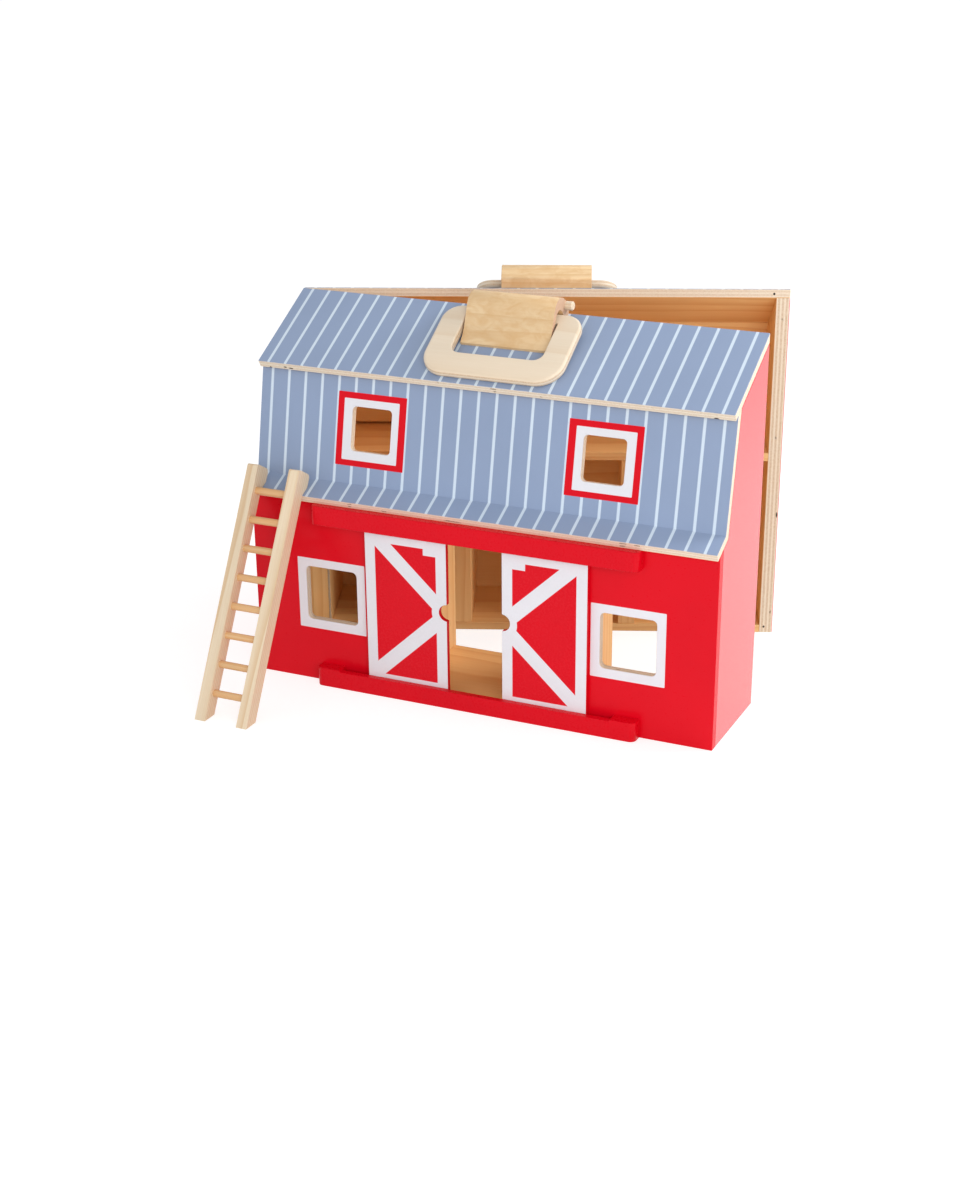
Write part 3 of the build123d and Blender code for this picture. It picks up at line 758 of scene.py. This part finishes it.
def ring_material(half, finish):
    """Lacquered birch plywood: plain veneers, plies on the rounded edges."""
    made, net, shader, point = start(f"{half}_ring_birch", half)
    wood = bare_wood(net, point, finish.birch_pale, finish.birch_dark, "X", 0.009, (0.05, 0.4, 0), 0.03, 0.5)
    depth = face_depth(net, point, RING_PIVOT + RING_NORMAL * (RING_THICKNESS / 2), RING_NORMAL)
    edge = net.use("ply_edge", Depth=depth, Thickness=RING_THICKNESS, Plies=5.0, Vector=point)
    inside = net.math("MULTIPLY", net.step(depth, 0.0006, 0.0002), net.below(depth, 0.0054, 0.0002))
    layers = net.math("MULTIPLY", inside, net.math("MULTIPLY", edge.outputs["Dark"], 0.7))
    colour = net.blend(layers, wood[0], RING_PLY_LINE)
    net.feed(shader.inputs["Base Color"], colour)
    net.feed(shader.inputs["Roughness"], net.spread(wood[2], 0.2, 0.8, 0.34, 0.46))
    shader.inputs["Coat Weight"].default_value = 0.3
    shader.inputs["Coat Roughness"].default_value = 0.2
    net.feed(shader.inputs["Normal"], net.bump(wood[2], 0.00003, 0.5))
    return made


def steel_material(finish):
    """Plated steel, brushed along and a little stained."""
    made, net, shader, point = start("plated_steel", "front")
    brushed = net.noise(net.turn(point, scale=(1.0, 1.0, 0.06)), 2500.0, 2.0)
    stain = net.noise(point, 90.0, 3.0)
    colour = net.blend(net.spread(stain, 0.45, 0.75, 0.0, 0.5), finish.steel, STEEL_STAIN)
    net.feed(shader.inputs["Base Color"], colour)
    shader.inputs["Metallic"].default_value = 1.0
    net.feed(shader.inputs["Roughness"], net.spread(brushed, 0.3, 0.7, 0.28, 0.42))
    net.feed(shader.inputs["Normal"], net.bump(brushed, 0.00002, 0.5))
    return made


# ---------------------------------------------------------------- new pieces
def settle(name, bm, place, body, made, stands_for):
    """Turns a bmesh into a piece that stands at the origin with its place in its mesh."""
    bmesh.ops.transform(bm, matrix=place, verts=bm.verts)
    bmesh.ops.recalc_face_normals(bm, faces=bm.faces)
    mesh = bpy.data.meshes.new(name)
    bm.to_mesh(mesh)
    bm.free()
    mesh.polygons.foreach_set("use_smooth", [True] * len(mesh.polygons))
    mesh.set_sharp_from_angle(angle=math.radians(40))
    mesh.materials.append(made)
    piece = bpy.data.objects.new(name, mesh)
    bpy.context.scene.collection.objects.link(piece)
    even = piece.modifiers.new("even_normals", "WEIGHTED_NORMAL")
    even.keep_sharp = True
    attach(piece, body)
    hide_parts(*stands_for)


def rounded_plate(bm, low, high, radius_top, radius_bottom, segments):
    """Adds a flat face in XY with rounded corners."""
    corners = [(low[0], low[1]), (high[0], low[1]), (high[0], high[1]), (low[0], high[1])]
    verts = [bm.verts.new((x, y, 0)) for x, y in corners]
    bm.faces.new(verts)
    for group, radius in ((verts[:2], radius_bottom), (verts[2:], radius_top)):
        bmesh.ops.bevel(
            bm, geom=group, offset=radius, offset_type="OFFSET", affect="VERTICES", segments=segments,
            profile=0.5, material=-1,
        )


def ring_piece(half, made):
    """The carrying ring, drawn flat with its opening and laid on the roof, with smooth rounded edges."""
    bm = bmesh.new()
    rounded_plate(bm, *RING_OUTLINE, RING_TOP_CORNER, RING_BOTTOM_CORNER, 14)
    outer = list(bm.edges)
    rounded_plate(bm, *RING_OPENING, OPENING_TOP_CORNER, OPENING_BOTTOM_CORNER, 8)
    inner = [edge for edge in bm.edges if edge not in outer]
    bmesh.ops.delete(bm, geom=list(bm.faces), context="FACES_ONLY")
    bmesh.ops.bridge_loops(bm, edges=outer + inner)
    raised = bmesh.ops.extrude_face_region(bm, geom=list(bm.faces))
    lifted = [item for item in raised["geom"] if isinstance(item, bmesh.types.BMVert)]
    bmesh.ops.translate(bm, vec=(0, 0, RING_THICKNESS), verts=lifted)
    bmesh.ops.recalc_face_normals(bm, faces=bm.faces)

    def on_outer(edge):
        middle = (edge.verts[0].co + edge.verts[1].co) / 2
        (_, low), (right, high) = BETWEEN
        return abs(middle.x) > right or middle.y > high or middle.y < low

    flat = [
        edge for edge in bm.edges
        if edge.calc_face_angle(0) > 1.2 and abs(edge.verts[0].co.z - edge.verts[1].co.z) < 1e-6
    ]
    rims = [edge for edge in flat if on_outer(edge)]
    holes = [edge for edge in flat if not on_outer(edge)]
    for edges, width, segments in ((rims, RING_ROUND, 4), (holes, OPENING_ROUND, 3)):
        bmesh.ops.bevel(
            bm, geom=[edge for edge in edges if edge.is_valid], offset=width, offset_type="OFFSET",
            affect="EDGES", segments=segments, profile=0.5, material=-1,
        )
    slope = Matrix((
        (1, 0, 0, 0), (0, -RING_DOWN.y, RING_NORMAL.y, RING_FOOT.y),
        (0, -RING_DOWN.z, RING_NORMAL.z, RING_FOOT.z), (0, 0, 0, 1),
    ))
    body = f"{half}_handle"
    settle(f"{half}_ring_smooth", bm, HALVES[half] @ slope, body, made, [f"{half}_handle_ring"])


# ---------------------------------------------------------------- the studio
def seen_directly(net):
    """1 for rays from the camera, a reflection or a clear piece, which see plain white."""
    path = net.add("ShaderNodeLightPath")
    return net.most(
        path.outputs["Is Camera Ray"], path.outputs["Is Glossy Ray"], path.outputs["Is Transmission Ray"]
    )


def lay_floor(scene):
    """A wide sheet of paper, pale to the eye, that keeps the barn's shadow and lights it from below."""
    bm = bmesh.new()
    bmesh.ops.create_grid(bm, x_segments=1, y_segments=1, size=12.0)
    mesh = bpy.data.meshes.new("studio_floor")
    bm.to_mesh(mesh)
    bm.free()
    floor = bpy.data.objects.new("studio_floor", mesh)
    scene.collection.objects.link(floor)
    made = bpy.data.materials.new("studio_floor_paper")
    made.use_nodes = True
    net = Net(made.node_tree)
    shader = made.node_tree.nodes["Principled BSDF"]
    shader.inputs["Roughness"].default_value = 0.9
    shader.inputs["Specular IOR Level"].default_value = 0.0
    shader.inputs["Emission Color"].default_value = (1, 1, 1, 1)
    seen = seen_directly(net)
    net.feed(shader.inputs["Emission Strength"], net.math("MULTIPLY", seen, 0.72))
    net.feed(shader.inputs["Base Color"], net.blend(seen, (0.84, 0.84, 0.84), (0.50, 0.50, 0.50)))
    mesh.materials.append(made)


def hang_sky(scene):
    """A white background, whose light is stronger near the ground than overhead."""
    world = bpy.data.worlds.new("studio_white")
    scene.world = world
    world.use_nodes = True
    net = Net(world.node_tree)
    sky = world.node_tree.nodes["Background"]
    sky.inputs["Color"].default_value = (1, 1, 1, 1)
    height = net.split(net.add("ShaderNodeTexCoord").outputs["Generated"])[2]
    soft = net.spread(height, 0.0, 1.0, 0.86, 0.46)
    net.feed(sky.inputs["Strength"], net.math("MAXIMUM", seen_directly(net), soft))


def set_lamps(scene):
    """Two windows and a wide soft fill, which no reflection shows."""
    for name, kind, size, energy, place in LAMPS:
        lamp = bpy.data.lights.new(name, kind)
        if kind == "SUN":
            lamp.angle = size
        else:
            lamp.size = size
        lamp.energy = energy
        holder = bpy.data.objects.new(name, lamp)
        scene.collection.objects.link(holder)
        holder.location = place
        holder.rotation_euler = (LAMP_AIM - Vector(place)).to_track_quat("-Z", "Y").to_euler()
        holder.visible_camera = False
        holder.visible_glossy = False


def set_camera(scene):
    """The camera that was fitted to the photograph."""
    eye = bpy.data.cameras.new("studio_camera")
    holder = bpy.data.objects.new("studio_camera", eye)
    scene.collection.objects.link(holder)
    azimuth, height, roll = CAMERA_AZIMUTH, CAMERA_HEIGHT, CAMERA_ROLL
    back = Vector((
        math.sin(azimuth) * math.cos(height), -math.cos(azimuth) * math.cos(height), math.sin(height),
    ))
    level = Vector((math.cos(azimuth), math.sin(azimuth), 0))
    upright = back.cross(level)
    right = level * math.cos(roll) + upright * math.sin(roll)
    up = upright * math.cos(roll) - level * math.sin(roll)
    holder.matrix_world = Matrix((
        *((right[i], up[i], back[i], CAMERA_PLACE[i]) for i in range(3)), (0, 0, 0, 1),
    ))
    eye.sensor_width = SENSOR
    eye.lens = FOCAL_PIXELS * SENSOR / PHOTO_LONG_SIDE
    eye.shift_x = CAMERA_SHIFT[0] / PHOTO_LONG_SIDE
    eye.shift_y = CAMERA_SHIFT[1] / PHOTO_LONG_SIDE
    eye.clip_end = 60.0
    scene.camera = holder


# ---------------------------------------------------------------- operators
class TOYBARN_OT_groups(bpy.types.Operator):
    """Build the shared node groups for paint, ply, wood and painted shapes"""

    bl_idname = "toy_barn.node_groups"
    bl_label = "Shared finishes"

    def execute(self, context):
        for build in (
            build_patch_group, build_stripe_group, build_depth_group, build_wood_group, build_ply_group,
            build_hole_group, build_film_group,
        ):
            build()
        return {"FINISHED"}


class TOYBARN_OT_walls(bpy.types.Operator):
    """Paint the outer walls red, with white frames round the windows"""

    bl_idname = "toy_barn.walls"
    bl_label = "Walls"

    def execute(self, context):
        finish, sizes = context.scene.toy_barn_finish, context.scene.toy_barn_sizes
        put_on(wall_material("front", finish, sizes, True), "front_wall")
        put_on(wall_material("back", finish, sizes, False), "back_wall")
        soften(sizes.edge_round, "front_wall", "back_wall")
        return {"FINISHED"}


class TOYBARN_OT_sides(bpy.types.Operator):
    """Paint the end boards red outside and leave their edges and insides bare"""

    bl_idname = "toy_barn.sides"
    bl_label = "End boards"

    def execute(self, context):
        finish, sizes = context.scene.toy_barn_finish, context.scene.toy_barn_sizes
        for half in HALVES:
            names = (f"{half}_left_side", f"{half}_right_side")
            put_on(side_material(half, finish, sizes), *names)
            soften(sizes.edge_round, *names)
        return {"FINISHED"}


class TOYBARN_OT_roof(bpy.types.Operator):
    """Paint the roof sheets blue with pale stripes, and frame the loft windows"""

    bl_idname = "toy_barn.roof"
    bl_label = "Roof sheets"

    def execute(self, context):
        finish, sizes = context.scene.toy_barn_finish, context.scene.toy_barn_sizes
        for half in HALVES:
            for sheet in ("upper", "lower"):
                made = roof_material(half, sheet, finish, sizes, half == "front" and sheet == "lower")
                put_on(made, f"{half}_{sheet}_roof")
                soften(sizes.edge_round, f"{half}_{sheet}_roof")
        return {"FINISHED"}


class TOYBARN_OT_doors(bpy.types.Operator):
    """Paint the sliding doors with white frames and braces, and the rails red"""

    bl_idname = "toy_barn.doors"
    bl_label = "Doors and rails"

    def execute(self, context):
        finish, sizes = context.scene.toy_barn_finish, context.scene.toy_barn_sizes
        for side in DOOR_MIDDLES:
            put_on(door_material(side, finish, sizes), f"{side}_door")
        put_on(rail_material(finish), "door_header_rail", "door_bottom_rail")
        soften(FINE_ROUND, "left_door", "right_door")
        soften(RAIL_ROUND, "door_header_rail", "door_bottom_rail")
        return {"FINISHED"}


class TOYBARN_OT_boards(bpy.types.Operator):
    """Give the floors, lofts and stall dividers their bare pine"""

    bl_idname = "toy_barn.boards"
    bl_label = "Floors, lofts and dividers"

    def execute(self, context):
        finish, sizes = context.scene.toy_barn_finish, context.scene.toy_barn_sizes
        for half in HALVES:
            flat = (f"{half}_floor", f"{half}_loft")
            upright = (f"{half}_left_divider", f"{half}_right_divider")
            put_on(plain_wood_material(
                f"{half}_board_pine", half, finish.pine_pale, finish.pine_dark, "X",
                ring=0.005, centre=(0.3, -0.12, 0), wander=0.02, depth=0.6,
            ), *flat)
            put_on(plain_wood_material(
                f"{half}_divider_pine", half, finish.pine_pale, finish.pine_dark, "Z",
                ring=0.004, centre=(0.12, -0.1, 0), wander=0.012, depth=0.6,
            ), *upright)
            soften(sizes.edge_round, *flat, *upright)
        return {"FINISHED"}


class TOYBARN_OT_handles(bpy.types.Operator):
    """Build the smooth carrying rings and finish the saddles and the stop dowel"""

    bl_idname = "toy_barn.handles"
    bl_label = "Carrying handles"

    def execute(self, context):
        finish = context.scene.toy_barn_finish
        for half in HALVES:
            put_on(saddle_material(half, finish), f"{half}_handle_saddle")
            soften(FINE_ROUND, f"{half}_handle_saddle")
            ring_piece(half, ring_material(half, finish))
        put_on(plain_wood_material(
            "dowel_birch", "front", finish.birch_pale, finish.birch_dark, "X", ring=0.0015,
        ), "front_handle_stop_dowel")
        return {"FINISHED"}


class TOYBARN_OT_ladder(bpy.types.Operator):
    """Give the ladder its pale rails and darker rungs"""

    bl_idname = "toy_barn.ladder"
    bl_label = "Ladder"

    def execute(self, context):
        finish = context.scene.toy_barn_finish
        rails = ("ladder_left_rail", "ladder_right_rail")
        put_on(plain_wood_material(
            "ladder_rail_pine", "front", finish.ladder_pale, finish.ladder_dark, (LADDER_LEAN, 0, 0),
            ring=0.0022, centre=(-0.2, 0.1, 0), wander=0.008,
        ), *rails)
        put_on(plain_wood_material(
            "rung_wood", "front", finish.rung_pale, finish.pine_dark, "X", ring=0.0016, depth=0.6,
        ), "ladder_rungs")
        soften(LADDER_ROUND, *rails)
        return {"FINISHED"}


class TOYBARN_OT_fittings(bpy.types.Operator):
    """Give the hinges, their pins and their screws plated steel"""

    bl_idname = "toy_barn.fittings"
    bl_label = "Hinges"

    def execute(self, context):
        names = [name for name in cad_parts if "hinge" in name]
        put_on(steel_material(context.scene.toy_barn_finish), *names)
        soften(STEEL_ROUND, *[name for name in names if name.endswith(("leaf", "screws"))])
        return {"FINISHED"}


class TOYBARN_OT_stage(bpy.types.Operator):
    """Set the pale floor, the soft studio light and the camera"""

    bl_idname = "toy_barn.stage"
    bl_label = "Studio"

    def execute(self, context):
        scene = context.scene
        lay_floor(scene)
        hang_sky(scene)
        set_lamps(scene)
        set_camera(scene)
        scene.view_settings.view_transform = "Standard"
        return {"FINISHED"}


class TOYBARN_PT_panel(bpy.types.Panel):
    """The barn's pieces, in the order in which they are finished"""

    bl_idname = "TOYBARN_PT_panel"
    bl_label = "Toy barn"
    bl_space_type = "VIEW_3D"
    bl_region_type = "UI"
    bl_category = "Toy barn"

    def draw(self, context):
        for step in STEPS:
            self.layout.operator(step.bl_idname)
        for group in (context.scene.toy_barn_finish, context.scene.toy_barn_sizes):
            for name in group.__annotations__:
                self.layout.prop(group, name)


STEPS = (
    TOYBARN_OT_stage, TOYBARN_OT_groups, TOYBARN_OT_walls, TOYBARN_OT_sides, TOYBARN_OT_roof,
    TOYBARN_OT_doors, TOYBARN_OT_boards, TOYBARN_OT_handles, TOYBARN_OT_ladder, TOYBARN_OT_fittings,
)
CLASSES = (ToyBarnFinish, ToyBarnSizes, *STEPS, TOYBARN_PT_panel)


def register():
    for made in CLASSES:
        bpy.utils.register_class(made)
    bpy.types.Scene.toy_barn_finish = bpy.props.PointerProperty(type=ToyBarnFinish)
    bpy.types.Scene.toy_barn_sizes = bpy.props.PointerProperty(type=ToyBarnSizes)


def unregister():
    del bpy.types.Scene.toy_barn_sizes
    del bpy.types.Scene.toy_barn_finish
    for made in reversed(CLASSES):
        bpy.utils.unregister_class(made)


def main():
    register()
    bpy.ops.toy_barn.stage()
    bpy.ops.toy_barn.node_groups()
    bpy.ops.toy_barn.walls()
    bpy.ops.toy_barn.sides()
    bpy.ops.toy_barn.roof()
    bpy.ops.toy_barn.doors()
    bpy.ops.toy_barn.boards()
    bpy.ops.toy_barn.handles()
    bpy.ops.toy_barn.ladder()
    bpy.ops.toy_barn.fittings()


if __name__ == "__main__":
    main()
